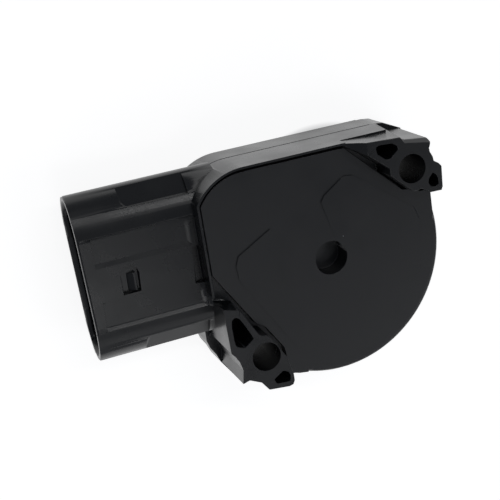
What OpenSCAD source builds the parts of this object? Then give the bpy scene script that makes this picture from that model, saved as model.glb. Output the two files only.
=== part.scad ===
// Throttle position sensor, cover side up (+Z), shroud pointing to -X
// Units are millimetres; z = 0 is the mounting face and the rotor turns about Z

/* [Mounting] */
// Diameter of each mounting hole
hole_d = 6.0; // [5:0.1:7]
// Bolt circle diameter
bolt_circle = 47.6; // [44:0.1:50]
// Direction of the upper ear's hole, degrees from +X
ear_angle = 40.0; // [35:0.5:45]
// Height of the ears
ear_height = 21.0; // [18:0.5:24]
// Depth of the cored pockets in the ears
pocket_depth = 11.0; // [4:0.5:16]
// Height of the base flange
base_height = 7.2; // [4:0.1:8]

/* [Housing] */
// Radius of the round end of the body
body_r = 23.8; // [22:0.1:24.6]
// Distance of the straight top wall from the axis
wall_top = 22.9; // [22:0.05:25]
// Distance of the shroud side wall from the axis
wall_side = 26.3; // [25:0.1:28]
// Radius of the top left corner
corner_r = 12.3; // [10:0.1:14]
// Height of the face that the cover sits on
seat_height = 14.9; // [13:0.1:16]
// Height of the thin rim round the cover
rim_height = 17.8; // [16:0.1:18.4]
// Thickness of the thin rim
rim_wall = 0.45; // [0.4:0.05:1.2]
// Thickness of the floor on the mounting side
floor_height = 3.4; // [2:0.1:5]
// Radius of the rotor chamber
chamber_r = 16.6; // [16:0.1:17]
// Radius of the collar that the rotor's journal runs in
collar_r = 8.0; // [7.5:0.1:8.4]
// Height of the top of that collar
collar_height = 6.2; // [5:0.1:7]

/* [Cover] */
// Radius of the cover's round end
cover_r = 24.7; // [23:0.1:26]
// Height of the cover's outer face
cover_height = 16.6; // [16:0.1:18]
// Radius of the rounding along the cover's round end
cover_edge_r = 1.0; // [0.4:0.1:1.4]
// Rise of the plateau above the outer face
plateau_rise = 0.3; // [0.2:0.05:0.8]
// Radius of the plateau's round edge
plateau_r = 20.9; // [19:0.1:22]
// Width of the dark groove between cover and rim
groove = 0.75; // [0.4:0.05:1.2]
// Diameter of the blind round recess
recess_d = 7.0; // [6:0.1:9]
// Depth of the blind round recess
recess_depth = 4.4; // [3:0.1:6]
// Diameter of the rotor pivot under the recess
pivot_d = 4.0; // [3:0.1:6]

/* [Shroud] */
// Distance of the shroud's open end from the axis
shroud_reach = 49.6; // [46:0.1:54]
// Width of the shroud across the row of terminals
shroud_width = 34.4; // [30:0.1:36]
// Thickness of the shroud
shroud_thick = 11.8; // [10:0.1:13]
// Wall of the shroud
shroud_wall = 1.5; // [1.2:0.1:2]
// Height of the shroud's middle plane
shroud_z = 8.5; // [7:0.1:10]
// Middle of the shroud along the row of terminals
shroud_y = 5.9; // [4:0.1:8]
// Depth of the socket behind the open end
socket_depth = 19.0; // [14:0.5:21]
// Width of the lead-in bevel inside the open end
lead_in = 0.8; // [0.3:0.1:1.2]
// Distance between neighbouring terminals
terminal_pitch = 4.6; // [4:0.1:5]
// Depth of the flat reliefs on the shroud's front corners
relief = 0.6; // [0.3:0.1:0.8]
// Depth of the two long recesses in the front face
sink = 0.5; // [0.3:0.1:1]
// Slant of the open end, degrees
mouth_slant = 1.7; // [0:0.1:2]
// Distance of the collar's inner edge from the axis
collar_edge = 39.8; // [38:0.1:42]

/* [Rotor] */
// Journal diameter of the rotor
journal_d = 13.0; // [10:0.1:15]
// Running clearance on the radius
running = 0.05; // [0.02:0.01:0.1]
// Radius of the rotor's arm disc
disc_r = 15.0; // [12:0.1:16]
// Height of the underside of the arm disc
disc_z = 8.6; // [7.5:0.1:9]
// Thickness of the arm disc
disc_t = 1.6; // [1.2:0.1:2.4]
// Width of the flats of the drive socket
drive_width = 5.4; // [4:0.1:6]
// Travel of the rotor between its stops, degrees
travel = 90; // [60:5:100]

/* [Return spring] */
// Wire diameter of the return spring
spring_wire = 0.8; // [0.5:0.1:1]
// Mean radius of the return spring
spring_r = 9.2; // [8:0.1:11]
// Number of full turns
spring_turns = 3; // [2:1:4]

/* [Hidden] */
$fn = 64;
eps = 0.02;
hole_r = hole_d / 2;
ear_x = bolt_circle / 2 * cos(ear_angle);
ear_y = bolt_circle / 2 * sin(ear_angle);
corner_x = -16;
corner_y = wall_top - corner_r;
journal_r = journal_d / 2;
recess_r = recess_d / 2;
plateau_z = cover_height + plateau_rise;
cup_r = recess_r + 1.3;
cup_bottom = plateau_z - recess_depth - 1.3;
pivot_r = pivot_d / 2;
pivot_bottom = cup_bottom - 2.8;
washer_t = 0.76;
boss_top = cup_bottom - washer_t - 0.04;
board_t = 1.2;
board_top = seat_height - 0.1;
board_z = board_top - board_t;
track_t = 0.12;
contact_z = board_z - track_t - 0.02;
carrier_z = 12.0;
cover_edge = wall_top - rim_wall - groove;
cover_side = wall_side - rim_wall - groove + 0.2;
cover_corner = corner_r - rim_wall - groove;
socket_end = -shroud_reach + socket_depth;
blade_tip = -shroud_reach + 4.4;
shroud_top = shroud_z + shroud_thick / 2;
terminal_w = 1.5;
terminal_t = 0.6;
tail_x = [-17.2, -19.6, -21, -21, -21, -21];
insert_r = 4.8;
insert_height = 6.4;
seal_or = journal_r + 2.6;
seal_z = 0.95;
seal_t = 1.5;
spring_z = floor_height + 0.6;
spring_pitch = 1.05;
spring_top = spring_z + spring_turns * spring_pitch;
stop_half = 9;
lug_half = 4;

// The upper ear's outline, counted from the ramp on the rim round the tip to the lobe
upper_ear = [[5.6, 22.1], [16.35, 22.15], [17.15, 20.75], [17.5, 21.35], [22.65, 20.65],
             [22.95, 20.0], [22.5, 18.7], [22.6, 17.8], [23.1, 16.8], [23.25, 15.8], [24.3, 15.1],
             [24.85, 14.4], [24.65, 10.1], [24.3, 9.4], [21.7, 9.5], [20.5, 10.4], [19.6, 10.8],
             [18.7, 10.5], [17.9, 10.6], [13.3, 14.95], [13.3, 16.4], [8.6, 20.35]];
// The lower ear's outline, counted from the shroud corner down and round
lower_ear = [[-25.5, -3.3], [-25.3, -12.7], [-24.6, -13.6], [-23.9, -14.9], [-23.45, -16.8],
             [-23.95, -19.7], [-22.5, -19.3], [-20.1, -20.5], [-18.7, -22.5],
             [-16.5, -22.75], [-14.4, -23.0], [-13.5, -22.8], [-13.1, -22.0], [-13.1, -20.7],
             [-13.75, -17.8], [-13.8, -16.9], [-16.9, -11.4], [-17.5, -10.8], [-18.5, -10.65],
             [-19.1, -10.2], [-22.1, -4.3]];
upper_pocket = [[10.8, 20.9], [10.95, 21.3], [11.6, 21.55], [14.4, 21.35], [15.5, 20.6],
                [15.55, 19.8], [13.9, 18.5], [13.4, 18.35], [12.75, 18.45], [11.15, 19.8]];
lower_pocket = [[-24.3, -9.9], [-24.3, -7.8], [-24.1, -6.1], [-23.8, -5.6], [-23.2, -5.5],
                [-22.6, -5.9], [-20.4, -10.2], [-20.5, -10.8], [-21.9, -11.9], [-22.4, -12.1],
                [-23.8, -11.6], [-24.2, -10.9]];
upper_small = [[21.55, 11.6], [21.8, 12.4], [22.2, 13.1], [22.7, 13.3], [23.4, 12.9], [23.7, 12.1],
               [23.6, 11.0], [23.1, 10.5], [22.0, 10.75]];
lower_small = [[-17.3, -20.6], [-15.6, -19.3], [-14.9, -19.35], [-14.1, -20.0], [-13.85, -20.6],
               [-13.95, -21.4], [-14.25, -21.75], [-16.8, -21.75], [-17.2, -21.3]];
base_upper = [[6, wall_top + 0.05], [17.6, wall_top - 0.05], [19.5, 22.6], [21.3, 21.7],
              [23.4, 20.7], [23.35, 15.8], [24.4, 15.1], [24.9, 14.4], [24.7, 10], [24.3, 9.4],
              [18, 8], [8, 12]];
// The bay for the terminal tails, and the wider ledge that the board rests on
bay = [[-23.6, 18.4], [-23.6, 3.0], [-19.4, -3.2], [-17.8, -7], [-12, -7], [-3, 10], [-3, 18.4]];
ledge = [[-24.1, 18.4], [-24.1, 2.6], [-19.9, -3.6], [-18.3, -7.4], [-12, -7.4], [-3, 10],
         [-3, 18.4]];
board_root = [[-24.0, 18.3], [-24.0, 2.65], [-19.83, -3.55], [-18.22, -7.3], [-12, -7.3],
              [-3, 10], [-3, 18.3]];
base_lower = [[-wall_side - 0.05, 2], [-wall_side - 0.05, -14.2], [-25.85, -15.95],
              [-24.8, -17.75], [-24.0, -19.8], [-22.5, -19.4], [-20.1, -20.5], [-14, -14],
              [-10, -6]];
upper_web = [[16, 11], [18.6, 4], [23.4, 1.5], [24.0, 3.7], [24.0, 9.6], [21.7, 10.2], [19.2, 10.9]];
lower_web = [[-14.2, -15], [-11, -17], [-8.2, -22.3], [-8.4, -23.2], [-10.3, -22.9],
             [-11.2, -22.6], [-13.3, -22.3]];
// Where the cover leaves room for the ears, with a dark gap between
upper_room = [[5.1, 40], [5.1, 22.5], [17.65, 10.3], [18.7, 10.1], [19.6, 10.4], [20.4, 10.0],
              [21.5, 9.1], [24.5, 9.0], [40, 9.0], [40, 40]];
lower_room = [[-40, 2.5], [-25.3, 2.5], [-17.9, -9.8], [-16.15, -10.9], [-12.9, -16.3],
              [-12.7, -17.6], [-12.6, -20.7], [-12.9, -23.4], [-13.4, -40], [-40, -40]];

// The cover's raised plateau, counted from the end of the fading side
plateau = concat([[-12.1, 9.0], [-19.4, 5.1], [-20.2, 3.2], [-19.9, 0.1], [-12.2, -13.3],
                  [-10.4, -16.5], [-8.5, -18.5]],
                 [for (a = [249:6:373]) [plateau_r * cos(a), plateau_r * sin(a)]],
                 [[19.7, 6.0], [17.3, 7.8], [8.7, 14.5], [7.0, 15.7], [5.4, 16.0], [4.2, 15.5],
                  [0.3, 13.0], [-0.5, 11.8]]);

// Which node to build

module prism(points, z0, z1) {
    translate([0, 0, z0])
        linear_extrude(height = z1 - z0)
            polygon(points);
}

// Ring from r0 to r1 between two heights
module ring(r0, r1, z0, z1) {
    difference() {
        translate([0, 0, z0])
            cylinder(h = z1 - z0, r = r1);
        translate([0, 0, z0 - 1])
            cylinder(h = z1 - z0 + 2, r = r0);
    }
}

// Part of a ring between two directions less than 180 degrees apart
module arc(r0, r1, z0, z1, a0, a1) {
    m = (a0 + a1) / 2;
    far = 2 * r1;
    intersection() {
        ring(r0, r1, z0, z1);
        prism([[0, 0], [far * cos(a0), far * sin(a0)], [far * cos(m), far * sin(m)],
               [far * cos(a1), far * sin(a1)]], z0 - 1, z1 + 1);
    }
}

// A bar along X with round ends across Y, centred on y = 0 and z = 0
module oblong(x0, x1, width, thick) {
    r = thick / 2;
    translate([x0, -width / 2 + r, -r])
        cube([x1 - x0, width - 2 * r, thick]);
    for (s = [-1, 1])
        translate([x0, s * (width / 2 - r), 0])
            rotate([0, 90, 0])
                cylinder(h = x1 - x0, r = r);
}

// A sunk rectangle with sloped sides: slopes are given for -X, +X, -Y and +Y
module sunk(x0, x1, y0, y1, top, depth, slopes) {
    up = 0.5;
    k = up / depth;
    xa = x0 - slopes[0] * k;
    xb = x1 + slopes[1] * k;
    ya = y0 - slopes[2] * k;
    yb = y1 + slopes[3] * k;
    polyhedron(points = [[x0 + slopes[0], y0 + slopes[2], top - depth],
                         [x1 - slopes[1], y0 + slopes[2], top - depth],
                         [x1 - slopes[1], y1 - slopes[3], top - depth],
                         [x0 + slopes[0], y1 - slopes[3], top - depth],
                         [xa, ya, top + up], [xb, ya, top + up], [xb, yb, top + up],
                         [xa, yb, top + up]],
               faces = [[0, 1, 2, 3], [4, 7, 6, 5], [0, 4, 5, 1], [1, 5, 6, 2], [2, 6, 7, 3],
                        [3, 7, 4, 0]]);
}

// Outline of the straight sided part of the body, grown outward by g
module block(z0, z1, g) {
    intersection() {
        translate([corner_x, corner_y, z0])
            cylinder(h = z1 - z0, r = corner_r + g);
        translate([-wall_side - g, corner_y - 20, z0])
            cube([40, 40, z1 - z0]);
    }
    prism([[-wall_side - g, -4], [-wall_side - g, corner_y + 6.5], [corner_x, wall_top + g],
           [16.35, wall_top + g], [16, 12], [8, -8], [-10, -16], [-21, -6]], z0, z1);
}

// Shoulder of the upper ear: its top wall leans in towards the ear's face, more so at the far end
module ear_shoulder() {
    b = base_height - 0.1;
    t = ear_height;
    polyhedron(points = [[4.4, wall_top, b], [17.7, wall_top, b], [18.58, wall_top - 1.54, b],
                         [13.0, 17.5, b], [5.6, 22.1, b],
                         [4.4, wall_top, t], [16.35, 22.2, t], [17.15, 20.8, t],
                         [13.0, 17.5, t], [5.6, 22.1, t]],
               faces = [[0, 4, 3, 2, 1], [5, 6, 7, 8, 9], [0, 1, 6], [0, 6, 5], [1, 7, 6],
                        [1, 2, 7], [2, 8, 7], [2, 3, 8], [3, 9, 8], [3, 4, 9], [4, 5, 9],
                        [4, 0, 5]]);
}

// Takes the upper edge of the ear's tip off, on the side of the top wall
module tip_bevel() {
    translate([17.15, 20.75, ear_height])
        rotate([0, 0, -10.6])
            rotate([90, 0, 90])
                linear_extrude(height = 7)
                    polygon([[0, 0], [4, -5.5], [4, 3], [0, 3]]);
}

// Takes the slope between the rim and the upper ear's face away, slightly hollow
module ear_ramp() {
    translate([0, 40, 0])
        rotate([90, 0, 0])
            linear_extrude(height = 60)
                polygon([[-10, rim_height], [4.4, rim_height], [6.4, rim_height + 0.9],
                         [7.8, rim_height + 1.95], [9.0, ear_height + 0.05], [9.0, ear_height + 5],
                         [-10, ear_height + 5]]);
}

module housing_outer() {
    difference() {
        cylinder(h = seat_height, r = body_r);
        translate([-40, wall_top, -1])
            cube([80, 20, 40]);
    }
    block(0, base_height, 0.05);
    block(0, seat_height, 0);
    prism(base_upper, 0, base_height);
    prism(base_lower, 0, base_height);
    prism(lower_ear, 0, ear_height);
    difference() {
        union() {
            prism(upper_ear, 0, ear_height);
            ear_shoulder();
        }
        ear_ramp();
        tip_bevel();
    }
    // small webs that close the corners between the ears and the round end
    prism(upper_web, 0, seat_height);
    prism(lower_web, 0, seat_height);
}

// Thin rim that stands outside the cover's edge along the shroud side and the top
module rim() {
    z0 = seat_height - 1;
    h = rim_height - z0;
    cross_y = corner_y + sqrt(corner_r * corner_r - pow(wall_side + corner_x, 2));
    translate([corner_x, wall_top - rim_wall, z0])
        cube([6 - corner_x, rim_wall, h]);
    translate([-wall_side, -1.6, z0])
        cube([rim_wall, cross_y + 1.4, h]);
    intersection() {
        translate([corner_x, corner_y, 0])
            ring(corner_r - rim_wall, corner_r, z0, rim_height);
        translate([-wall_side, corner_y + 4, z0])
            cube([corner_x + wall_side + 0.5, 12, h]);
    }
}

// Everything in front of the shroud's open end, moved inward by g
module past_mouth(g) {
    translate([-shroud_reach, shroud_y, 0])
        rotate([0, 0, mouth_slant])
            translate([-20 + g, -40, -10])
                cube([20, 80, 40]);
}

module shroud_outer() {
    difference() {
        translate([0, shroud_y, shroud_z])
            oblong(-shroud_reach - 1, -20, shroud_width, shroud_thick);
        past_mouth(0);
    }
}

module shroud_reliefs() {
    // flat relief on both front corners, between the collar and the body
    w = shroud_width / 2;
    for (s = [0, 1])
        translate([0, shroud_y, 0])
            mirror([0, s, 0])
                intersection() {
                    prism(concat([[-wall_side - 0.02, w - 3.85], [-wall_side - 0.02, w + 2],
                                  [-collar_edge, w + 2]],
                                 [for (a = [180:22.5:270])
                                  [1.2 - collar_edge + 1.2 * cos(a), w - 2.65 + 1.2 * sin(a)]]),
                          shroud_z - 1, shroud_z + 8);
                    translate([-collar_edge - 1, 0, shroud_z])
                        rotate([90, 0, 90])
                            linear_extrude(height = 20)
                                polygon([[w - 4, 12], [w - 4, 5.56 - relief], [w - 3.85, 5.53 - relief],
                                         [w - 0.35, 2.6 - relief], [w + 2.2, 0.47 - relief],
                                         [w + 2.2, 12]]);
                }
    // two long shallow recesses in the front face
    sunk(-47.3, -27.3, shroud_y + 3.1, shroud_y + 9.1, shroud_top, sink, [0.1, 1.1, 0.9, 0.15]);
    sunk(-47.1, -26.5, shroud_y - 9.9, shroud_y - 3.8, shroud_top, sink, [0.1, 0.9, 0.8, 0.15]);
    // deeper slot at the root of the channel between them
    translate([-28.0, shroud_y - 4.9, shroud_top - 1.4])
        cube([1.72, 7.8, 4]);
    // arched window of the lock ramp
    translate([-42.7, shroud_y - 3.3, shroud_top - 1.1])
        cube([3.6, 4.0, 4]);
    translate([-40.9, shroud_y + 0.7, shroud_top - 1.1])
        cylinder(h = 4, r = 1.8);
}

module lock_ramp() {
    translate([0, shroud_y + 0.6, 0])
        rotate([90, 0, 0])
            linear_extrude(height = 3.6)
                polygon([[-41.6, shroud_top - 1.2], [-41.4, shroud_top - 0.95],
                         [-40.3, shroud_top - 0.25], [-39.75, shroud_top - 0.25],
                         [-39.75, shroud_top - 1.2]]);
}

// Room for the mating connector, with a bevel at the open end
module socket() {
    w = shroud_width - 2 * shroud_wall;
    t = shroud_thick - 2 * shroud_wall;
    translate([0, shroud_y, shroud_z]) {
        oblong(-shroud_reach - 2, socket_end, w, t);
        translate([-shroud_reach, 0, 0])
            rotate([0, 0, mouth_slant])
                hull() {
                    oblong(-0.9, -0.1, w + 2 * lead_in, t + 2 * lead_in);
                    oblong(-0.9, 1.2 * lead_in, w - 0.1, t - 0.1);
                }
    }
}

module chamber() {
    difference() {
        translate([0, 0, floor_height])
            cylinder(h = 20, r = chamber_r);
        cylinder(h = collar_height, r = collar_r);
        // stop lugs at the two ends of the travel
        for (s = [-1, 1])
            arc(15.5, 18, 7.6, 11.4, s * (travel / 2 + stop_half + lug_half) - lug_half,
                s * (travel / 2 + stop_half + lug_half) + lug_half);
    }
    translate([0, 0, board_z])
        cylinder(h = 20, r = chamber_r + 0.8);
    difference() {
        prism(bay, floor_height + 1.2, 30);
        cylinder(h = 30, r = chamber_r - 0.5);
    }
    difference() {
        prism(ledge, board_z, 30);
        cylinder(h = 30, r = chamber_r - 0.5);
    }
    // pocket for the fixed leg of the return spring
    rotate([0, 0, 200])
        translate([spring_r - 0.45, -0.45, floor_height - 0.7])
            cube([0.9, 0.9, 2]);
}

// Passage of one terminal through the wall between socket and bay
module terminal_slot(i) {
    y = shroud_y + (i - 3.5) * terminal_pitch;
    translate([socket_end - 1, y - terminal_w / 2, shroud_z - terminal_t / 2])
        cube([tail_x[i - 1] - socket_end + 0.6, terminal_w, terminal_t]);
}

module housing() {
    color("#26282b")
        difference() {
            union() {
                difference() {
                    union() {
                        housing_outer();
                        shroud_outer();
                    }
                    shroud_reliefs();
                }
                lock_ramp();
                rim();
            }
            chamber();
            socket();
            for (i = [1:6])
                terminal_slot(i);
            // journal bore, and the seal seat in the mounting face
            translate([0, 0, -1])
                cylinder(h = 20, r = journal_r + running);
            translate([0, 0, -1])
                cylinder(h = 1 + seal_z + seal_t, r = seal_or);
            // mounting holes
            for (s = [-1, 1])
                translate([s * ear_x, s * ear_y, -1])
                    cylinder(h = ear_height + 2, r = hole_r);
            // cored pockets of the ears
            prism(upper_pocket, ear_height - pocket_depth, ear_height + 1);
            prism(lower_pocket, ear_height - pocket_depth, ear_height + 1);
            prism(upper_small, ear_height - pocket_depth, ear_height + 1);
            prism(lower_small, ear_height - pocket_depth, ear_height + 1);
        }
}

module cover_plate() {
    difference() {
        union() {
            rotate_extrude()
                polygon(concat([[0, cover_height], [0, seat_height], [cover_r, seat_height]],
                               [for (a = [0:18:90])
                                [cover_r - cover_edge_r + cover_edge_r * cos(a),
                                 cover_height - cover_edge_r + cover_edge_r * sin(a)]]));
            intersection() {
                translate([corner_x, corner_y, seat_height])
                    cylinder(h = cover_height - seat_height, r = cover_corner);
                translate([-cover_side, corner_y - 20, seat_height])
                    cube([40, 40, cover_height - seat_height]);
            }
            prism([[-cover_side, 1.0], [-cover_side, 16], [corner_x, cover_edge - 0.01],
                   [3.5, cover_edge - 0.01], [8, 8], [-4, -8], [-20, -6]], seat_height,
                  cover_height);
            prism(upper_web, seat_height, cover_height);
            prism(lower_web, seat_height, cover_height);
        }
        translate([-40, cover_edge, 0])
            cube([80, 20, 30]);
        translate([-cover_side - 20, -40, 0])
            cube([20, 80, 30]);
        prism(upper_room, 0, 30);
        prism(lower_room, 0, 30);
    }
}

// The plateau, faded out over its side towards the corner
module cover_plateau() {
    p = [-12.1, 9.0];
    q = [-0.5, 11.8];
    u = (q - p) / norm(q - p);
    n = [u[1], -u[0]];
    p2 = p + 8.4 * n + 3.0 * u;
    q2 = q + 8.4 * n;
    p1 = p - 1.6 * n - 0.5 * u;
    q1 = q - 1.6 * n;
    low = cover_height - plateau_rise * 1.6 / 8.4;
    high = cover_height + plateau_rise;
    roof = cover_height + 3;
    difference() {
        prism(plateau, cover_height - 0.5, plateau_z);
        polyhedron(points = [[p1[0], p1[1], low], [q1[0], q1[1], low], [q2[0], q2[1], high],
                             [p2[0], p2[1], high], [p1[0], p1[1], roof], [q1[0], q1[1], roof],
                             [q2[0], q2[1], roof], [p2[0], p2[1], roof]],
                   faces = [[0, 3, 2, 1], [4, 5, 6, 7], [0, 1, 5, 4], [1, 2, 6, 5], [2, 3, 7, 6],
                            [3, 0, 4, 7]]);
    }
}

module cover() {
    color("#2a2c30")
        difference() {
            union() {
                cover_plate();
                cover_plateau();
                // cup under the recess, and the pivot that steadies the rotor
                translate([0, 0, cup_bottom])
                    cylinder(h = seat_height + 1 - cup_bottom, r = cup_r);
                translate([0, 0, pivot_bottom])
                    cylinder(h = cup_bottom - pivot_bottom + 0.5, r = pivot_r);
            }
            translate([0, 0, plateau_z - recess_depth])
                cylinder(h = 10, r = recess_r);
        }
}

// Glue run in the groove between the rim and the cover's straight side
module sealant_bead() {
    outer = -wall_side + rim_wall + 0.02;
    inner = -cover_side - 0.02;
    color("#3a3c40")
        prism([[outer, -1.3], [outer, corner_y + 6.2], [inner, corner_y + 6.2], [inner, -1.1]],
              seat_height, cover_height - 0.35);
}

// Blade in the socket, passage through the wall, and a tail up through the board
module terminal(i) {
    y = shroud_y + (i - 3.5) * terminal_pitch;
    x1 = tail_x[i - 1] + terminal_t / 2;
    color("#b9a46a") {
        translate([blade_tip + 0.8, y - terminal_w / 2, shroud_z - terminal_t / 2])
            cube([x1 - blade_tip - 0.8, terminal_w, terminal_t]);
        translate([blade_tip, y - 0.45, shroud_z - 0.2])
            cube([2, 0.9, 0.4]);
        translate([x1 - terminal_t, y - terminal_w / 2, shroud_z])
            cube([terminal_t, terminal_w, board_top - shroud_z]);
    }
}

module terminal_1() { terminal(1); }
module terminal_2() { terminal(2); }
module terminal_3() { terminal(3); }
module terminal_4() { terminal(4); }
module terminal_5() { terminal(5); }
module terminal_6() { terminal(6); }

module track_board() {
    color("#2f5a3c")
        difference() {
            union() {
                translate([0, 0, board_z])
                    cylinder(h = board_t, r = chamber_r + 0.7);
                prism(board_root, board_z, board_top);
            }
            translate([0, 0, board_z - 1])
                cylinder(h = 5, r = cup_r + 0.6);
            for (i = [1:6])
                translate([tail_x[i - 1] - terminal_t / 2,
                           shroud_y + (i - 3.5) * terminal_pitch - terminal_w / 2, board_z - 1])
                    cube([terminal_t, terminal_w, 5]);
        }
}

module position_track() {
    color("#15161a")
        arc(10.0, 13.6, board_z - track_t, board_z, 88, 206);
}

module idle_track() {
    color("#c2b27a")
        arc(6.8, 9.2, board_z - track_t, board_z, -92, 26);
}

module shaft_seal() {
    color("#1b1b1d")
        ring(journal_r + 0.02, seal_or, seal_z, seal_z + seal_t);
}

module seal_retainer() {
    color("#9a9da1")
        ring(journal_r + 0.7, seal_or, 0.2, seal_z);
}

module rotor() {
    color("#d8d2c0")
        difference() {
            union() {
                translate([0, 0, 0.3])
                    cylinder(h = disc_z, r = journal_r);
                translate([0, 0, disc_z])
                    cylinder(h = disc_t, r = disc_r);
                // tongue that meets the stop lugs
                arc(disc_r - 2, 16.2, disc_z, disc_z + disc_t, -travel / 2 - stop_half + 0.5,
                    -travel / 2 + stop_half - 0.5);
                translate([0, 0, disc_z])
                    cylinder(h = boss_top - disc_z, r = 4.2);
                // carriers of the two wipers
                rotate([0, 0, 100])
                    translate([9.4, -3.5, disc_z])
                        cube([4.8, 3.4, carrier_z - disc_z]);
                rotate([0, 0, -80])
                    translate([6.2, -3.5, disc_z])
                        cube([3.6, 3.4, carrier_z - disc_z]);
                // horn that takes the moving leg of the spring
                rotate([0, 0, 20])
                    translate([spring_r - 1.2, -1.2, spring_top + 0.9])
                        cube([2.4, 2.4, disc_z - spring_top]);
            }
            translate([0, 0, pivot_bottom - 0.3])
                cylinder(h = 10, r = pivot_r + running);
            translate([0, 0, -1])
                cylinder(h = 1 + insert_height, r = insert_r);
            rotate([0, 0, 20])
                translate([spring_r - spring_wire / 2, -spring_wire / 2, spring_top])
                    cube([spring_wire, spring_wire, 1.9]);
        }
}

module drive_insert() {
    color("#b08d57")
        difference() {
            translate([0, 0, 0.3])
                cylinder(h = insert_height - 0.3, r = insert_r);
            intersection() {
                translate([0, 0, -1])
                    cylinder(h = insert_height + 0.2, r = 3.8);
                translate([-drive_width / 2, -6, -1])
                    cube([drive_width, 12, insert_height + 0.2]);
            }
        }
}

// Leaf spring on its carrier with fingers that reach up to the track
module wiper(r0, r1, fingers) {
    n = fingers;
    w = (r1 - r0) / n;
    translate([r0, -3.2, carrier_z])
        cube([r1 - r0, 2.4, 0.25]);
    for (k = [0:n - 1])
        translate([r0 + (k + 0.15) * w, -0.9, 0])
            rotate([90, 0, 90])
                linear_extrude(height = 0.7 * w)
                    polygon([[0, carrier_z], [0.1, carrier_z], [3.2, contact_z - 0.25],
                             [3.9, contact_z - 0.45], [4.0, contact_z - 0.2],
                             [3.3, contact_z], [3.0, contact_z], [0, carrier_z + 0.25]]);
}

module position_wiper() {
    color("#d0b368")
        rotate([0, 0, 100])
            wiper(9.8, 13.8, 4);
}

module idle_wiper() {
    color("#d0b368")
        rotate([0, 0, -80])
            wiper(6.6, 9.4, 3);
}

// Coil swept along the turns, with one leg down into the floor and one up into the rotor
module return_spring() {
    steps = 20;
    sides = 8;
    n = steps * spring_turns + steps / 2;
    wire = spring_wire / 2;
    turn = function(k) 200 + 360 * k / steps;
    ring_points = function(k)
        let (a = turn(k), z = spring_z + spring_pitch * k / steps * spring_turns
                              / (spring_turns + 0.5))
        [for (j = [0:sides - 1])
            let (b = 360 * j / sides, r = spring_r + wire * cos(b))
            [r * cos(a), r * sin(a), z + wire * sin(b)]];
    points = [for (k = [0:n]) each ring_points(k)];
    side_faces = [for (k = [0:n - 1]) for (j = [0:sides - 1])
        let (p = k * sides + j, q = k * sides + (j + 1) % sides)
        each [[p, q, q + sides], [p, q + sides, p + sides]]];
    color("#8d9096") {
        polyhedron(points = points,
                   faces = concat([[for (j = [0:sides - 1]) sides - 1 - j]],
                                  [[for (j = [0:sides - 1]) n * sides + j]], side_faces));
        rotate([0, 0, 200])
            translate([spring_r, 0, floor_height - 0.6])
                cylinder(h = spring_z - floor_height + 0.6, r = wire);
        rotate([0, 0, 20])
            translate([spring_r, 0, spring_top])
                cylinder(h = 1.8, r = wire);
    }
}

module thrust_washer() {
    color("#e6e3da")
        ring(pivot_r + 0.15, 4.2, boss_top + 0.02, boss_top + 0.02 + washer_t);
}

housing();
cover();
sealant_bead();
terminal_1();
terminal_2();
terminal_3();
terminal_4();
terminal_5();
terminal_6();
track_board();
position_track();
idle_track();
shaft_seal();
seal_retainer();
rotor();
drive_insert();
position_wiper();
idle_wiper();
return_spring();
thrust_washer();
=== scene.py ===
import math

import bmesh
import bpy
from mathutils import Euler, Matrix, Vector
from mathutils.bvhtree import BVHTree
from mathutils.kdtree import KDTree


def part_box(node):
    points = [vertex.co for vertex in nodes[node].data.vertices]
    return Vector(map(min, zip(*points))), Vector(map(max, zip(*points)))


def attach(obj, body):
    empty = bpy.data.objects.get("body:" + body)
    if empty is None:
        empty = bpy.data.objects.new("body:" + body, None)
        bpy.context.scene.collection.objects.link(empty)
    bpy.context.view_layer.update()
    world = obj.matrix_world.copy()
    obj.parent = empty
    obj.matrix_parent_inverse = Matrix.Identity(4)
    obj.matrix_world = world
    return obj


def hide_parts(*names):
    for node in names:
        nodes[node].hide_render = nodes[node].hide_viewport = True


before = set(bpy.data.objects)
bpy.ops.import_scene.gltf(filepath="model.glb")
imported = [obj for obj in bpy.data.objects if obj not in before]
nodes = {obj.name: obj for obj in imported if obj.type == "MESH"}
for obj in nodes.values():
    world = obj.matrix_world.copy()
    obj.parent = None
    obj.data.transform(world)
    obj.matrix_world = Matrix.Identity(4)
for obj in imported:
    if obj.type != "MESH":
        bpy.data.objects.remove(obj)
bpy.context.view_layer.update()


# Stage: a plain white table, plain soft lights and the camera of the photograph.
# The sensor lies on its mounting face, cover up, with the shroud towards -X. The table
# glows evenly white, and its glow is dimmed as painted shade where the sensor covers it.
def srgb(code):
    """Linear colour from an sRGB hex value."""
    parts = [int(code[i:i + 2], 16) / 255 for i in (1, 3, 5)]
    return [p / 12.92 if p <= 0.04045 else ((p + 0.055) / 1.055) ** 2.4 for p in parts] + [1.0]


def add_node(tree, kind, inputs=(), **settings):
    """One node with its settings; an input takes a number, a colour or a socket to link."""
    node = tree.nodes.new(kind)
    for name, value in settings.items():
        setattr(node, name, value)
    for name, value in dict(inputs).items():
        socket = node.inputs[name]
        if isinstance(value, bpy.types.NodeSocket):
            tree.links.new(value, socket)
        else:
            socket.default_value = value
    return node


scene = bpy.context.scene
scene.view_settings.view_transform = "Standard"

camera = bpy.data.objects.new("camera", bpy.data.cameras.new("camera"))
scene.collection.objects.link(camera)
scene.camera = camera
camera.data.lens = 80.83
camera.data.sensor_width = 36
camera.data.clip_start = 0.01
camera.location = (-0.079797, 0.072336, 0.218778)
camera.rotation_euler = Euler((-0.252272, -0.346411, -0.162881))

table_half = 3.0
table_drop = -0.0001
table_mesh = bpy.data.meshes.new("table")
table_mesh.from_pydata([(x * table_half, y * table_half, table_drop)
                        for x, y in ((-1, -1), (1, -1), (1, 1), (-1, 1))], [], [(0, 1, 2, 3)])
table = bpy.data.objects.new("table", table_mesh)
scene.collection.objects.link(table)
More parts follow.
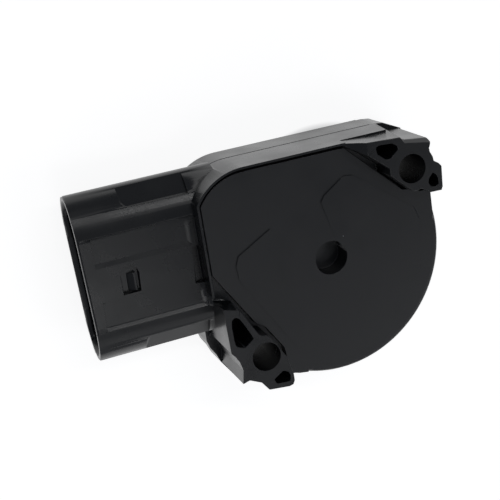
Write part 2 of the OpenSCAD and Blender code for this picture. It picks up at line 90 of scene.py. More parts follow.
# A white sheet that glows evenly and reads as plain white; inside the ellipse that the
# sensor stands on, its glow is dimmed as painted shade, so its open holes look dark
glowing_table_painted_shade = bpy.data.materials.new("white_table_glow_painted_shade")
glowing_table_painted_shade.use_nodes = True
tree = glowing_table_painted_shade.node_tree
shader = tree.nodes["Principled BSDF"]
shader.inputs["Base Color"].default_value = srgb("#b0b0b0")
shader.inputs["Roughness"].default_value = 0.9
shader.inputs["Specular IOR Level"].default_value = 0.0
shader.inputs["Emission Color"].default_value = srgb("#ffffff")
place = add_node(tree, "ShaderNodeTexCoord").outputs["Object"]
# painted shade under the sensor: half-sizes of the ellipse where the table's glow is dimmed
painted_shade_half = (0.028, 0.021, 1.0)
turned = add_node(tree, "ShaderNodeMapping", {"Vector": place, "Scale": painted_shade_half,
                                              "Rotation": (0, 0, math.radians(40))},
                  vector_type="TEXTURE")
spread = add_node(tree, "ShaderNodeVectorMath", {0: turned.outputs["Vector"]}, operation="LENGTH")
glow_with_painted_shade = add_node(tree, "ShaderNodeMapRange", {"Value": spread.outputs["Value"], "From Min": 0.9,
                                             "From Max": 1.0, "To Min": 0.22, "To Max": 0.86})
tree.links.new(glow_with_painted_shade.outputs["Result"], shader.inputs["Emission Strength"])
table_mesh.materials.append(glowing_table_painted_shade)

world = bpy.data.worlds.new("studio")
scene.world = world
world.use_nodes = True
sky = world.node_tree.nodes["Background"]
sky.inputs["Color"].default_value = srgb("#eef3ff")
sky.inputs["Strength"].default_value = 0.2


def softbox(name, place, size, watts, width=None):
    """Area light that looks at the sensor; with a width it is a strip."""
    light = bpy.data.lights.new(name, "AREA")
    light.shape = "RECTANGLE"
    light.size = width or size
    light.size_y = size
    light.energy = watts
    box = bpy.data.objects.new(name, light)
    box.location = place
    box.rotation_euler = (-Vector(place)).to_track_quat("-Z", "Y").to_euler()
    scene.collection.objects.link(box)


softbox("back strip", (0.17, 0.52, 0.97), 0.05, 1.3, width=0.9)
softbox("front right", (0.70, -0.70, 0.90), 0.6, 1.2)
softbox("top left", (0.00, -0.47, 1.10), 0.3, 0.62)
softbox("front low", (-0.15, -0.95, 0.60), 0.4, 0.6, width=0.9)


# Housing: one moulding of glass-filled nylon with its two ears and the connector shroud.
# The tool leaves a fine satin skin, slightly uneven in gloss, and small radii on all edges;
# the rim of the open end is rounded more, so that the plug finds its way in.
def settled(piece):
    """Turns what the modifiers of a piece make into its plain mesh."""
    bpy.context.view_layer.update()
    ready = piece.evaluated_get(bpy.context.evaluated_depsgraph_get())
    piece.data = bpy.data.meshes.new_from_object(ready)
    piece.modifiers.clear()
    piece.data.name = piece.name


# what counts as flat: turns in radians, widths in metres and an area in square metres
same_plane = 0.01
slight_turn = math.radians(16)
rounding_width = 0.00022
broad_area = 0.000025
broad_width = 0.0015
crisp_width = 0.0003


def plane_regions(bm):
    """Groups of joined faces that lie in one plane, and the number of each face's group."""
    regions = []
    region_of = {}
    for first in bm.faces:
        if first in region_of:
            continue
        region_of[first] = len(regions)
        faces = [first]
        for face in faces:
            for edge in face.edges:
                if edge.calc_face_angle(math.pi) >= same_plane:
                    continue
                for other in edge.link_faces:
                    if other not in region_of:
                        region_of[other] = len(regions)
                        faces.append(other)
        regions.append(faces)
    return regions, region_of


def region_width(faces):
    """Area of a group of faces over its longest extent."""
    places = [v.co for f in faces for v in f.verts]
    spread = math.dist([min(p[k] for p in places) for k in range(3)],
                       [max(p[k] for p in places) for k in range(3)])
    return sum(f.calc_area() for f in faces) / max(spread, 0.000001)


def flat_directions(mesh, level_from):
    """Direction of each face in a level region, a broad flat one or one with crisp edges."""
    bm = bmesh.new()
    bm.from_mesh(mesh)
    regions, region_of = plane_regions(bm)
    widths = [region_width(faces) for faces in regions]
    found = {}
    for number, faces in enumerate(regions):
        # a neighbour at a slight angle that is no rounding means a curved surface
        curved = any(region_of[other] != number and widths[region_of[other]] > rounding_width
                     for face in faces for edge in face.edges
                     if same_plane < edge.calc_face_angle(math.pi) < slight_turn
                     for other in edge.link_faces)
        area = sum(f.calc_area() for f in faces)
        normal = sum((f.normal * f.calc_area() for f in faces), Vector()).normalized()
        broad = area > broad_area and widths[number] > broad_width
        crisp = widths[number] > crisp_width and not curved
        if abs(normal.z) > level_from:
            normal = Vector((0, 0, math.copysign(1, normal.z)))
        elif not broad and not crisp:
            continue
        found.update((f.index, normal) for f in faces)
    bm.free()
    return found


# a face this wide that slopes away from a flat keeps its own shading, and so does a corner
# that is turned further; the last two are cosines
slope_width = 0.00025
slope_below = 0.992
turned_below = 0.9


def shade_flats(mesh, level_from):
    """Shades flat faces as truly flat, and the roundings beside them alike where they start."""
    flats = flat_directions(mesh, level_from)
    beside = {}
    for index, normal in flats.items():
        for vert in mesh.polygons[index].vertices:
            beside.setdefault(vert, []).append(normal)
    directions = [Vector(corner.vector) for corner in mesh.corner_normals]
    for face in mesh.polygons:
        longest = max((mesh.vertices[a].co - mesh.vertices[b].co).length
                      for a, b in face.edge_keys)
        wide = face.area > slope_width * longest
        for corner in face.loop_indices:
            if face.index in flats:
                directions[corner] = flats[face.index]
                continue
            for normal in beside.get(mesh.loops[corner].vertex_index, ()):
                slope = wide and face.normal.dot(normal) < slope_below
                if not slope and directions[corner].dot(normal) > turned_below:
                    directions[corner] = normal
    mesh.normals_split_custom_set(directions)


# how a solid's loose triangles are joined, which edges are rounded, and how far a point of a
# rounding may stray, as shares of its width
weld_gap = 0.00001
sliver_length = 0.00002
seam_turn = math.radians(0.6)
sharp_from = math.radians(32)
crease_from = math.radians(50)
rail_step = 0.0001
slid_too_far = 1.6
slid_slack = 0.00005
lifted_too_far = 0.6


def rails_along(edges):
    """Search tree of the points at small steps along edges."""
    points = []
    for edge in edges:
        steps = int(edge.calc_length() / rail_step) + 1
        points += [edge.verts[0].co.lerp(edge.verts[1].co, k / steps) for k in range(steps + 1)]
    rails = KDTree(len(points))
    for index, point in enumerate(points):
        rails.insert(point, index)
    rails.balance()
    return rails


def round_off(bm, offset, steps, wanted=None):
    """Rounds sharp edges between broad faces, and pulls back what leaves the surface."""
    surface = BVHTree.FromBMesh(bm)
    marked = bm.edges.layers.int.new("marked")
    broad = {f: f.calc_area() / max(e.calc_length() for e in f.edges) > 2 * offset
             for f in bm.faces}
    for edge in bm.edges:
        edge[marked] = 0
        if wanted and not all(wanted(v.co) for v in edge.verts):
            continue
        if edge.calc_face_angle(0) > sharp_from:
            edge[marked] = bool(wanted) or all(broad[f] for f in edge.link_faces)
    bmesh.ops.triangulate(bm, faces=[f for f in bm.faces if len(f.verts) > 4])
    chosen = [e for e in bm.edges if e[marked]]
    first_places = {tuple(v.co) for v in bm.verts}
    rails = rails_along(chosen)
    bmesh.ops.bevel(bm, geom=chosen, offset=offset,
                    offset_type="OFFSET", segments=steps, profile=0.5, affect="EDGES",
                    clamp_overlap=False, face_strength_mode="ALL")
    bm.edges.layers.int.remove(marked)
    for vert in bm.verts:
        if tuple(vert.co) in first_places:
            continue
        on_rail, _, slid = rails.find(vert.co)
        if slid > offset * slid_too_far + slid_slack:
            vert.co = on_rail
        on_surface, _, _, gap = surface.find_nearest(vert.co)
        if gap > offset * lifted_too_far:
            vert.co = on_surface


def eased(node, name, width, wide=None, wide_width=0.0, level_from=0.9985, reshape=None):
    """Merged copy of a CAD solid whose sharp edges are rounded to a width in metres."""
    mesh = nodes[node].data.copy()
    mesh.name = name
    bm = bmesh.new()
    bm.from_mesh(mesh)
    bmesh.ops.remove_doubles(bm, verts=bm.verts, dist=weld_gap)
    bmesh.ops.dissolve_degenerate(bm, dist=sliver_length, edges=bm.edges)
    bmesh.ops.dissolve_limit(bm, angle_limit=seam_turn, use_dissolve_boundaries=False,
                             verts=bm.verts, edges=bm.edges)
    if reshape:
        reshape(bm)
    if wide:
        round_off(bm, wide_width, steps=4, wanted=wide)
    round_off(bm, width, steps=2)
    bm.to_mesh(mesh)
    bm.free()
    piece = bpy.data.objects.new(name, mesh)
    scene.collection.objects.link(piece)
    mesh.shade_smooth()
    mesh.set_sharp_from_angle(angle=crease_from)
    # broad flat faces keep their own direction, and the roundings take up the turn
    weights = piece.modifiers.new("weights", "WEIGHTED_NORMAL")
    weights.mode = "FACE_AREA"
    weights.weight = 100
    weights.keep_sharp = True
    weights.use_face_influence = True
    settled(piece)
    shade_flats(piece.data, level_from)
    return piece


def dress(piece, material):
    """Gives a piece one material all over."""
    piece.data.materials.clear()
    piece.data.materials.append(material)


def moulded_plastic(name, colour, dust, roughness, seed, ior=1.53, dusty=0.82):
    """Moulding resin: satin skin with an uneven gloss, a fine grain and a little pale dust."""
    material = bpy.data.materials.new(name)
    material.use_nodes = True
    tree = material.node_tree
    shader = tree.nodes["Principled BSDF"]
    shader.inputs["IOR"].default_value = ior
    place = add_node(tree, "ShaderNodeTexCoord").outputs["Object"]
    # gloss drifts over about 6 mm, as the melt cooled against the tool
    drift = add_node(tree, "ShaderNodeTexNoise", {"Vector": place, "Scale": 1 / 0.006,
                                                  "Detail": 3.0, "W": seed},
                     noise_dimensions="4D")
    gloss = add_node(tree, "ShaderNodeMapRange", {"Value": drift.outputs["Fac"],
                                                  "From Min": 0.3, "From Max": 0.7,
                                                  "To Min": roughness - 0.04,
                                                  "To Max": roughness + 0.05})
    tree.links.new(gloss.outputs["Result"], shader.inputs["Roughness"])
    # dust specks of 0.1 to 0.2 mm, in few of the cells of 1.6 mm
    cells = add_node(tree, "ShaderNodeTexVoronoi", {"Vector": place, "Scale": 1 / 0.0016,
                                                    "W": seed}, voronoi_dimensions="4D")
    lot = add_node(tree, "ShaderNodeSeparateColor", {"Color": cells.outputs["Color"]})
    reach = add_node(tree, "ShaderNodeMapRange", {"Value": lot.outputs["Red"],
                                                  "From Min": dusty, "From Max": 1.0,
                                                  "To Min": 0.0, "To Max": 0.085})
    speck = add_node(tree, "ShaderNodeMath", {0: cells.outputs["Distance"],
                                              1: reach.outputs["Result"]},
                     operation="LESS_THAN")
    tint = add_node(tree, "ShaderNodeMix", {"Factor": speck.outputs["Value"], "A": srgb(colour),
                                            "B": srgb(dust)}, data_type="RGBA")
    tree.links.new(tint.outputs["Result"], shader.inputs["Base Color"])
    # spark-eroded grain is 0.05 mm on the real part; drawn at 0.45 mm so that it shows
    grain = add_node(tree, "ShaderNodeTexNoise", {"Vector": place, "Scale": 1 / 0.00045,
                                                  "Detail": 2.0, "W": seed},
                     noise_dimensions="4D")
    bump = add_node(tree, "ShaderNodeBump", {"Height": grain.outputs["Fac"], "Strength": 0.35,
                                             "Distance": 0.00001})
    tree.links.new(bump.outputs["Normal"], shader.inputs["Normal"])
    return material


# the shroud is a flat oblong round a point in the middle of its open end
shroud_middle = Vector((-0.0496, 0.0059, 0.0085))
shroud_half = 0.0172
shroud_half_thick = 0.0059
shroud_flat_half = shroud_half - shroud_half_thick
shroud_root_x = -0.019
rim_depth = 0.0012
rim_skin = 0.0002


def past_flat(gap):
    """How far beyond the shroud's flat stretch a point lies, towards either side."""
    return max(0.0, abs(gap.y) - shroud_flat_half)


def on_mouth_rim(point):
    """True on the outer edge of the shroud's open end."""
    gap = point - shroud_middle
    outside = math.hypot(past_flat(gap), gap.z) > shroud_half_thick - rim_skin
    return gap.x < rim_depth and outside


# the shoulder runs from its start, beside the middle, to the shroud's sides; it fades out
# towards the body and leaves the lower ear's gusset as it is
shoulder_start = 0.0076
shoulder_cuts = 12
shoulder_fade = 0.004
outside_from = 0.0046
outside_skin = 0.0009
side_slack = 0.0001
gusset_x = -0.0225


def held(value):
    """A value held between 0 and 1."""
    return min(1.0, max(0.0, value))


def on_broad_side(face):
    """True for a face of the shroud's upper or lower outside."""
    height = max(abs(v.co.z - shroud_middle.z) for v in face.verts)
    beyond_root = max(v.co.x for v in face.verts) < shroud_root_x
    return beyond_root and abs(face.normal.z) > 0.5 and height > outside_from


def shouldered(bm):
    """Lets the shroud's two broad faces fall away towards its sides on a longer curve."""
    long_half = shroud_half - shoulder_start
    for k in range(shoulder_cuts):
        reach = shoulder_start + (shroud_flat_half - shoulder_start) * k / (shoulder_cuts - 1)
        for side in (-1, 1):
            broad = [f for f in bm.faces if on_broad_side(f)]
            known = set(broad)
            edges = [e for e in bm.edges if any(f in known for f in e.link_faces)]
            bmesh.ops.bisect_plane(bm, geom=broad + edges, dist=weld_gap, plane_no=(0, 1, 0),
                                   plane_co=(0, shroud_middle.y + side * reach, 0))
    for vert in bm.verts:
        gap = vert.co - shroud_middle
        past = past_flat(gap)
        off_skin = abs(math.hypot(past, gap.z) - shroud_half_thick) > outside_skin
        off_side = abs(gap.y) > shroud_half + side_slack
        at_gusset = vert.co.x > gusset_x and gap.y < 0
        if vert.co.x > shroud_root_x or off_skin or off_side or at_gusset:
            continue
        along = held((abs(gap.y) - shoulder_start) / long_half)
        full = math.sqrt(max(0.0, shroud_half_thick ** 2 - past ** 2))
        drop = full - shroud_half_thick * math.sqrt(1 - along ** 2)
        fade = held((shroud_root_x - vert.co.x) / shoulder_fade)
        vert.co.z -= math.copysign(drop * fade, gap.z)


# the open end leans by 0.85 degrees against the solid's
mouth_lean = math.tan(math.radians(0.85))
mouth_from_x = -0.043
mouth_fade = 0.004
housing_nylon = moulded_plastic("glass_filled_nylon", "#111315", "#6f7274", 0.28, 1.0)
housing = eased("housing", "housing_moulding", 0.00015, wide=on_mouth_rim, wide_width=0.00045,
                reshape=shouldered)
for vert in housing.data.vertices:
    lean = held((mouth_from_x - vert.co.x) / mouth_fade) * mouth_lean
    vert.co.x += lean * (vert.co.y - shroud_middle.y)
dress(housing, housing_nylon)
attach(housing, "body")
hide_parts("housing")


# Shaft seal: a nitrile rubber ring pressed into the mounting face round the journal, with
# a flexible lip that wipes the turning shaft. Moulded, matt black, with a faint bloom.
def lathed(name, profile, steps):
    """Closed ring turned from a profile of (radius, height) points in metres."""
    bm = bmesh.new()
    rings = []
    for k in range(steps):
        turn = 2 * math.pi * k / steps
        rings.append([bm.verts.new((r * math.cos(turn), r * math.sin(turn), z))
                      for r, z in profile])
    count = len(profile)
    for k in range(steps):
        here, following = rings[k], rings[(k + 1) % steps]
        for j in range(count):
            bm.faces.new((here[j], following[j], following[(j + 1) % count],
                          here[(j + 1) % count]))
    bmesh.ops.recalc_face_normals(bm, faces=bm.faces)
    mesh = bpy.data.meshes.new(name)
    bm.to_mesh(mesh)
    bm.free()
    mesh.shade_smooth()
    mesh.set_sharp_from_angle(angle=math.radians(40))
    piece = bpy.data.objects.new(name, mesh)
    scene.collection.objects.link(piece)
    return piece


nitrile = moulded_plastic("nitrile_rubber", "#1a1a1b", "#3b3b3a", 0.62, 9.0, ior=1.52, dusty=0.7)
seal_outer = 0.0091
seal_low = 0.00096
seal_high = 0.00244
seal_chamfer = 0.00015
lip_radius = 0.00653
seal_profile = [(seal_outer, seal_low + seal_chamfer), (seal_outer, seal_high - seal_chamfer),
                (seal_outer - seal_chamfer, seal_high), (0.0080, seal_high),
                (0.0078, seal_high - 0.0004), (0.0073, seal_high - 0.00045),
                (0.0071, seal_high - 0.0001), (0.0068, seal_high - 0.0001),
                (lip_radius, seal_high - 0.0005), (lip_radius + 0.0003, seal_low + 0.0001),
                (0.0071, seal_low), (seal_outer - seal_chamfer, seal_low)]
seal = lathed("seal_ring", seal_profile, 96)
dress(seal, nitrile)
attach(seal, "body")
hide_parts("shaft_seal")


# Seal retainer: a ring stamped from zinc-plated steel strip, pressed in over the seal.
# The press leaves its edge rounded, and the plating is bright with a cloudy bloom.
def plain_metal(name, colour, shade, roughness, seed, streak=(1.0, 1.0, 1.0), streak_size=0.0008):
    """Bright metal whose colour and gloss drift along the direction it was worked in."""
    material = bpy.data.materials.new(name)
    material.use_nodes = True
    tree = material.node_tree
    shader = tree.nodes["Principled BSDF"]
    shader.inputs["Metallic"].default_value = 1.0
    place = add_node(tree, "ShaderNodeTexCoord").outputs["Object"]
    along = add_node(tree, "ShaderNodeMapping", {"Vector": place, "Scale": streak})
    worked = add_node(tree, "ShaderNodeTexNoise", {"Vector": along.outputs["Vector"],
                                                   "Scale": 1 / streak_size, "Detail": 4.0,
                                                   "W": seed}, noise_dimensions="4D")
    tint = add_node(tree, "ShaderNodeMix", {"Factor": worked.outputs["Fac"], "A": srgb(colour),
                                            "B": srgb(shade)}, data_type="RGBA")
    tree.links.new(tint.outputs["Result"], shader.inputs["Base Color"])
    gloss = add_node(tree, "ShaderNodeMapRange", {"Value": worked.outputs["Fac"],
                                                  "From Min": 0.3, "From Max": 0.7,
                                                  "To Min": roughness - 0.06,
                                                  "To Max": roughness + 0.08})
    tree.links.new(gloss.outputs["Result"], shader.inputs["Roughness"])
    bump = add_node(tree, "ShaderNodeBump", {"Height": worked.outputs["Fac"], "Strength": 0.2,
                                             "Distance": 0.00001})
    tree.links.new(bump.outputs["Normal"], shader.inputs["Normal"])
    return material


zinc_plate = plain_metal("zinc_plated_steel", "#c3c6c9", "#9a9fa4", 0.32, 2.0, streak_size=0.0012)
retainer = eased("seal_retainer", "retainer_ring", 0.00012)
dress(retainer, zinc_plate)
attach(retainer, "body")
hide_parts("seal_retainer")


# Terminals: six contacts stamped from brass strip 0.6 mm thick, tinned, each bent once so
# that the blade stands in the socket and the tail goes up through the board.
def swept_strip():
    """Geometry Nodes tree that sweeps a strip or wire along the lines of a mesh."""
    tree = bpy.data.node_groups.new("swept_strip", "GeometryNodeTree")
    tree.is_modifier = True
    tree.interface.new_socket("Geometry", in_out="INPUT", socket_type="NodeSocketGeometry")
    for name in ("Width", "Thickness", "Edge radius", "Bend radius"):
        tree.interface.new_socket(name, in_out="INPUT", socket_type="NodeSocketFloat")
    tree.interface.new_socket("Edge steps", in_out="INPUT", socket_type="NodeSocketInt")
    tree.interface.new_socket("Finish", in_out="INPUT", socket_type="NodeSocketMaterial")
    tree.interface.new_socket("Geometry", in_out="OUTPUT", socket_type="NodeSocketGeometry")
    given = tree.nodes.new("NodeGroupInput").outputs
    route = add_node(tree, "GeometryNodeMeshToCurve", {"Mesh": given["Geometry"]})
    bent = add_node(tree, "GeometryNodeFilletCurve", {"Curve": route.outputs["Curve"],
                                                      "Radius": given["Bend radius"],
                                                      "Count": 5, "Limit Radius": True},
                    mode="POLY")
    outline = add_node(tree, "GeometryNodeCurvePrimitiveQuadrilateral",
                       {"Width": given["Width"], "Height": given["Thickness"]})
    rounded = add_node(tree, "GeometryNodeFilletCurve", {"Curve": outline.outputs["Curve"],
                                                         "Radius": given["Edge radius"],
                                                         "Count": given["Edge steps"],
                                                         "Limit Radius": True}, mode="POLY")
    taper = add_node(tree, "GeometryNodeInputRadius")
    swept = add_node(tree, "GeometryNodeCurveToMesh", {"Curve": bent.outputs["Curve"],
                                                       "Profile Curve": rounded.outputs["Curve"],
                                                       "Scale": taper.outputs["Radius"],
                                                       "Fill Caps": True})
    real = add_node(tree, "GeometryNodeRealizeInstances", {"Geometry": swept.outputs["Mesh"]})
    painted = add_node(tree, "GeometryNodeSetMaterial", {"Geometry": real.outputs["Geometry"],
                                                         "Material": given["Finish"]})
    result = tree.nodes.new("NodeGroupOutput")
    tree.links.new(painted.outputs["Geometry"], result.inputs["Geometry"])
    return tree


closing_gap = 0.000002


def grown(name, paths, tree, sizes, radii=None):
    """Plain mesh piece made by a tree from lines through points; sizes are its named inputs."""
    points = [p for path in paths for p in path]
    lines = []
    first = 0
    for path in paths:
        lines += [(first + k, first + k + 1) for k in range(len(path) - 1)]
        first += len(path)
    mesh = bpy.data.meshes.new(name)
    mesh.from_pydata(points, lines, [])
    thickness = mesh.attributes.new("radius", "FLOAT", "POINT")
    thickness.data.foreach_set("value", radii or [1.0] * len(points))
    piece = bpy.data.objects.new(name, mesh)
    scene.collection.objects.link(piece)
    modifier = piece.modifiers.new("build", "NODES")
    modifier.node_group = tree
    for item in tree.interface.items_tree:
        if item.item_type == "SOCKET" and item.in_out == "INPUT" and item.name in sizes:
            modifier[item.identifier] = sizes[item.name]
    settled(piece)
    built = piece.data
    bm = bmesh.new()
    bm.from_mesh(built)
    bmesh.ops.remove_doubles(bm, verts=bm.verts, dist=closing_gap)
    bmesh.ops.recalc_face_normals(bm, faces=bm.faces)
    bm.to_mesh(built)
    bm.free()
    built.shade_smooth()
    built.set_sharp_from_angle(angle=math.radians(35))
    return piece


tin_plate = plain_metal("tin_plated_brass", "#d6d3c8", "#b5ab8c", 0.3, 3.0,
                        streak=(0.25, 1.0, 1.0), streak_size=0.0004)
terminal_names = [name for name in sorted(nodes) if name.startswith("terminal_")]
terminal_width = 0.0015
terminal_thick = 0.0006
tip_length = 0.0008
tip_share = 0.6
terminal_paths = []
terminal_radii = []
for name in terminal_names:
    low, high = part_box(name)
    middle_y = (low[1] + high[1]) / 2
    middle_z = low[2] + terminal_thick / 2
    tail_x = high[0] - terminal_thick / 2
    terminal_paths.append([(low[0], middle_y, middle_z), (low[0] + tip_length, middle_y, middle_z),
                           (tail_x, middle_y, middle_z), (tail_x, middle_y, high[2])])
    terminal_radii += [tip_share, 1.0, 1.0, 1.0]
terminals = grown("terminal_row", terminal_paths, swept_strip(),
                  {"Width": terminal_thick, "Thickness": terminal_width, "Edge radius": 0.0001,
                   "Bend radius": 0.0006, "Edge steps": 2, "Finish": tin_plate}, terminal_radii)
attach(terminals, "body")
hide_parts(*terminal_names)


# Track board: a disc of glass-epoxy laminate with a lacquered face, held on the ledge round
# the chamber. The glass cloth shows through the lacquer as a fine check.
laminate = bpy.data.materials.new("glass_epoxy_laminate")
laminate.use_nodes = True
tree = laminate.node_tree
shader = tree.nodes["Principled BSDF"]
shader.inputs["Roughness"].default_value = 0.35
shader.inputs["IOR"].default_value = 1.55
place = add_node(tree, "ShaderNodeTexCoord").outputs["Object"]
# the cloth has 0.5 mm between its yarns
cloth = add_node(tree, "ShaderNodeTexChecker", {"Vector": place, "Scale": 1 / 0.0005,
                                                "Color1": srgb("#2b5438"),
                                                "Color2": srgb("#264b32")})
cloud = add_node(tree, "ShaderNodeTexNoise", {"Vector": place, "Scale": 1 / 0.004, "Detail": 2.0})
tint = add_node(tree, "ShaderNodeMix", {"Factor": cloud.outputs["Fac"],
                                        "A": cloth.outputs["Color"], "B": srgb("#c9d4cb")},
                data_type="RGBA", blend_type="MULTIPLY")
tree.links.new(tint.outputs["Result"], shader.inputs["Base Color"])
bump = add_node(tree, "ShaderNodeBump", {"Height": cloth.outputs["Fac"], "Strength": 0.2,
                                         "Distance": 0.00001})
tree.links.new(bump.outputs["Normal"], shader.inputs["Normal"])
dress(nodes["track_board"], laminate)


# Tracks: the position track is screen-printed carbon ink, dull with a fine tooth, and the
# idle switch track is printed silver ink. Both are cured on the underside of the board.
def printed_ink(name, colour, pale, roughness, metallic, seed):
    """Screen-printed ink: mottled, with the mesh of the screen left in it."""
    material = bpy.data.materials.new(name)
    material.use_nodes = True
    tree = material.node_tree
    shader = tree.nodes["Principled BSDF"]
    shader.inputs["Roughness"].default_value = roughness
    shader.inputs["Metallic"].default_value = metallic
    place = add_node(tree, "ShaderNodeTexCoord").outputs["Object"]
    # silver flake and carbon grains clump over about 0.3 mm
    clumps = add_node(tree, "ShaderNodeTexVoronoi", {"Vector": place, "Scale": 1 / 0.0003,
                                                     "W": seed}, voronoi_dimensions="4D")
    tint = add_node(tree, "ShaderNodeMix", {"Factor": clumps.outputs["Distance"],
                                            "A": srgb(colour), "B": srgb(pale)},
                    data_type="RGBA")
    tree.links.new(tint.outputs["Result"], shader.inputs["Base Color"])
    bump = add_node(tree, "ShaderNodeBump", {"Height": clumps.outputs["Distance"],
                                             "Strength": 0.3, "Distance": 0.00001})
    tree.links.new(bump.outputs["Normal"], shader.inputs["Normal"])
    return material


dress(nodes["position_track"], printed_ink("carbon_ink", "#111214", "#232427", 0.6, 0.0, 4.0))
dress(nodes["idle_track"], printed_ink("silver_ink", "#cfcdc6", "#a9a69c", 0.4, 1.0, 6.0))


# Return spring: stainless wire 0.8 mm thick in three and a half turns, with one leg in the
# floor and one in the rotor. It is wound cold, so the wire keeps fine lines along its length.
spring_wire = 0.0008
spring_low, spring_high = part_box("return_spring")
spring_radius = (spring_high[0] - spring_low[0]) / 2 - spring_wire / 2
spring_turns = 3.5
leg_low = 0.0012
leg_high = 0.0018
first_angle = math.radians(200)
coil_z = spring_low[2] + leg_low
coil_rise = spring_high[2] - leg_high - coil_z
coil_points = 140
coil = []
for k in range(coil_points + 1):
    turn = first_angle + 2 * math.pi * spring_turns * k / coil_points
    coil.append((spring_radius * math.cos(turn), spring_radius * math.sin(turn),
                 coil_z + coil_rise * k / coil_points))
leg_down = (coil[0][0], coil[0][1], spring_low[2])
leg_up = (coil[-1][0], coil[-1][1], spring_high[2])
spring_steel = plain_metal("stainless_spring_wire", "#b4b6b8", "#8c8f93", 0.28, 7.0,
                           streak=(1.0, 1.0, 6.0), streak_size=0.0006)
spring = grown("return_coil", [[leg_down] + coil + [leg_up]], swept_strip(),
               {"Width": spring_wire, "Thickness": spring_wire, "Edge radius": spring_wire / 2,
                "Bend radius": 0.0004, "Edge steps": 3, "Finish": spring_steel})
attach(spring, "body")
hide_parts("return_spring")


# Rotor: natural acetal, moulded round the drive insert; its journal shows at the mounting
# face. The resin is slightly translucent, waxy and cream coloured.
acetal = moulded_plastic("natural_acetal", "#d9d3c2", "#b9b19c", 0.4, 11.0, ior=1.48, dusty=0.9)
acetal_shader = acetal.node_tree.nodes["Principled BSDF"]
acetal_shader.inputs["Subsurface Weight"].default_value = 0.15
acetal_shader.inputs["Subsurface Scale"].default_value = 0.0008
rotor = eased("rotor", "rotor_moulding", 0.00015)
dress(rotor, acetal)
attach(rotor, "rotor")
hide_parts("rotor")


# Drive insert: a sintered brass bush with two flats inside that take the throttle shaft.
# Pressed powder leaves small dark pores in the metal.
sintered_brass = plain_metal("sintered_brass", "#b9965c", "#94733d", 0.4, 8.0, streak_size=0.0005)
tree = sintered_brass.node_tree
shader = tree.nodes["Principled BSDF"]
place = add_node(tree, "ShaderNodeTexCoord").outputs["Object"]
# pores are 0.05 mm wide; drawn at 0.12 mm so that they show
pores = add_node(tree, "ShaderNodeTexVoronoi", {"Vector": place, "Scale": 1 / 0.00045,
                                                "W": 8.0}, voronoi_dimensions="4D")
pit = add_node(tree, "ShaderNodeMapRange", {"Value": pores.outputs["Distance"],
                                            "From Min": 0.1, "From Max": 0.25})
pitted = add_node(tree, "ShaderNodeBump", {"Height": pit.outputs["Result"], "Strength": 0.6,
                                           "Distance": 0.00004})
tree.links.new(pitted.outputs["Normal"], shader.inputs["Normal"])
insert = eased("drive_insert", "drive_bush", 0.0002)
dress(insert, sintered_brass)
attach(insert, "rotor")
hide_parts("drive_insert")


# Wipers: fingers of spring bronze strip on the rotor's two carriers, rolled bright.
spring_bronze = plain_metal("spring_bronze", "#d0b368", "#b3934b", 0.25, 10.0,
                            streak=(1.0, 5.0, 1.0), streak_size=0.0005)
for name in ("position_wiper", "idle_wiper"):
    dress(nodes[name], spring_bronze)


# Thrust washer: PTFE punched from sheet, between the rotor's boss and the cover's cup.
ptfe = moulded_plastic("ptfe_sheet", "#e6e3da", "#cfcbc0", 0.45, 12.0, ior=1.38, dusty=0.9)
washer = eased("thrust_washer", "ptfe_washer", 0.00008)
dress(washer, ptfe)
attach(washer, "rotor")
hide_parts("thrust_washer")


# Sealant: epoxy run into the groove between the cover and the rim on the shroud side. It
# sets glossy and lumpy, with beads that stand a little proud of the run.
epoxy = moulded_plastic("set_epoxy", "#1c1e20", "#54585a", 0.14, 13.0, ior=1.56, dusty=0.75)
dress(nodes["sealant_bead"], epoxy)


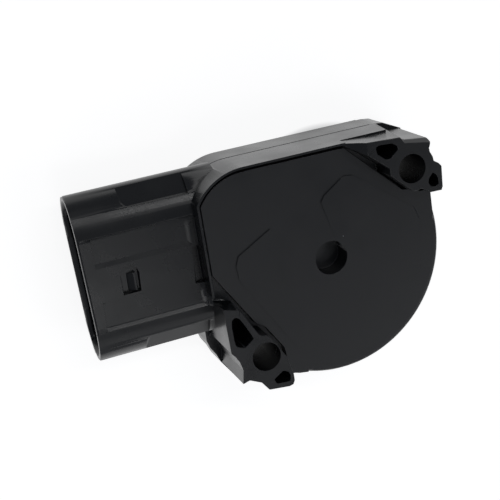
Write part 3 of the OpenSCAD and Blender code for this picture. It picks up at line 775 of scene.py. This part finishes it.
def lumpy_run():
    """Geometry Nodes tree that runs a bead of uneven thickness along the lines of a mesh."""
    tree = bpy.data.node_groups.new("lumpy_run", "GeometryNodeTree")
    tree.is_modifier = True
    tree.interface.new_socket("Geometry", in_out="INPUT", socket_type="NodeSocketGeometry")
    for name in ("Thin", "Thick", "Lump length", "Step", "Seed"):
        tree.interface.new_socket(name, in_out="INPUT", socket_type="NodeSocketFloat")
    tree.interface.new_socket("Finish", in_out="INPUT", socket_type="NodeSocketMaterial")
    tree.interface.new_socket("Geometry", in_out="OUTPUT", socket_type="NodeSocketGeometry")
    given = tree.nodes.new("NodeGroupInput").outputs
    route = add_node(tree, "GeometryNodeMeshToCurve", {"Mesh": given["Geometry"]})
    fine = add_node(tree, "GeometryNodeResampleCurve", {"Curve": route.outputs["Curve"],
                                                        "Length": given["Step"]}, mode="LENGTH")
    where = add_node(tree, "GeometryNodeInputPosition")
    often = add_node(tree, "ShaderNodeMath", {0: 1.0, 1: given["Lump length"]},
                     operation="DIVIDE")
    lumps = add_node(tree, "ShaderNodeTexNoise", {"Vector": where.outputs["Position"],
                                                  "Scale": often.outputs["Value"],
                                                  "Detail": 2.0, "W": given["Seed"]},
                     noise_dimensions="4D")
    radius = add_node(tree, "ShaderNodeMapRange", {"Value": lumps.outputs["Fac"],
                                                   "From Min": 0.35, "From Max": 0.68,
                                                   "To Min": given["Thin"],
                                                   "To Max": given["Thick"]})
    outline = add_node(tree, "GeometryNodeCurvePrimitiveCircle", {"Resolution": 12,
                                                                  "Radius": 1.0})
    swept = add_node(tree, "GeometryNodeCurveToMesh", {"Curve": fine.outputs["Curve"],
                                                       "Profile Curve": outline.outputs["Curve"],
                                                       "Scale": radius.outputs["Result"],
                                                       "Fill Caps": True})
    real = add_node(tree, "GeometryNodeRealizeInstances", {"Geometry": swept.outputs["Mesh"]})
    painted = add_node(tree, "GeometryNodeSetMaterial", {"Geometry": real.outputs["Geometry"],
                                                         "Material": given["Finish"]})
    result = tree.nodes.new("NodeGroupOutput")
    tree.links.new(painted.outputs["Geometry"], result.inputs["Geometry"])
    return tree


bead_low, bead_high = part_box("sealant_bead")
bead_x = (bead_low[0] + bead_high[0]) / 2
bead_sunk = 0.00008
bead_z = bead_high[2] - bead_sunk
bead_end = 0.0004
run = grown("sealant_run", [[(bead_x, bead_low[1] + bead_end, bead_z),
                             (bead_x, bead_high[1] - bead_end, bead_z)]], lumpy_run(),
            {"Thin": 0.00012, "Thick": 0.00026, "Lump length": 0.0011, "Step": 0.00025,
             "Seed": 3.0, "Finish": epoxy})
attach(run, "body")


# Cover: a moulded lid of unfilled black nylon, laser-welded to the housing's seat. It has
# a shallow plateau, a blind recess over the rotor's pivot, and faint sinks over the ribs.
cover_nylon = moulded_plastic("laser_welded_nylon", "#111316", "#8a8d8f", 0.36, 5.0)
# the plateau fades out over one side, so its slope takes no crease where it meets the flat
cover = eased("cover", "cover_moulding", 0.00015, level_from=0.995)
dress(cover, cover_nylon)
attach(cover, "body")
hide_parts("cover")
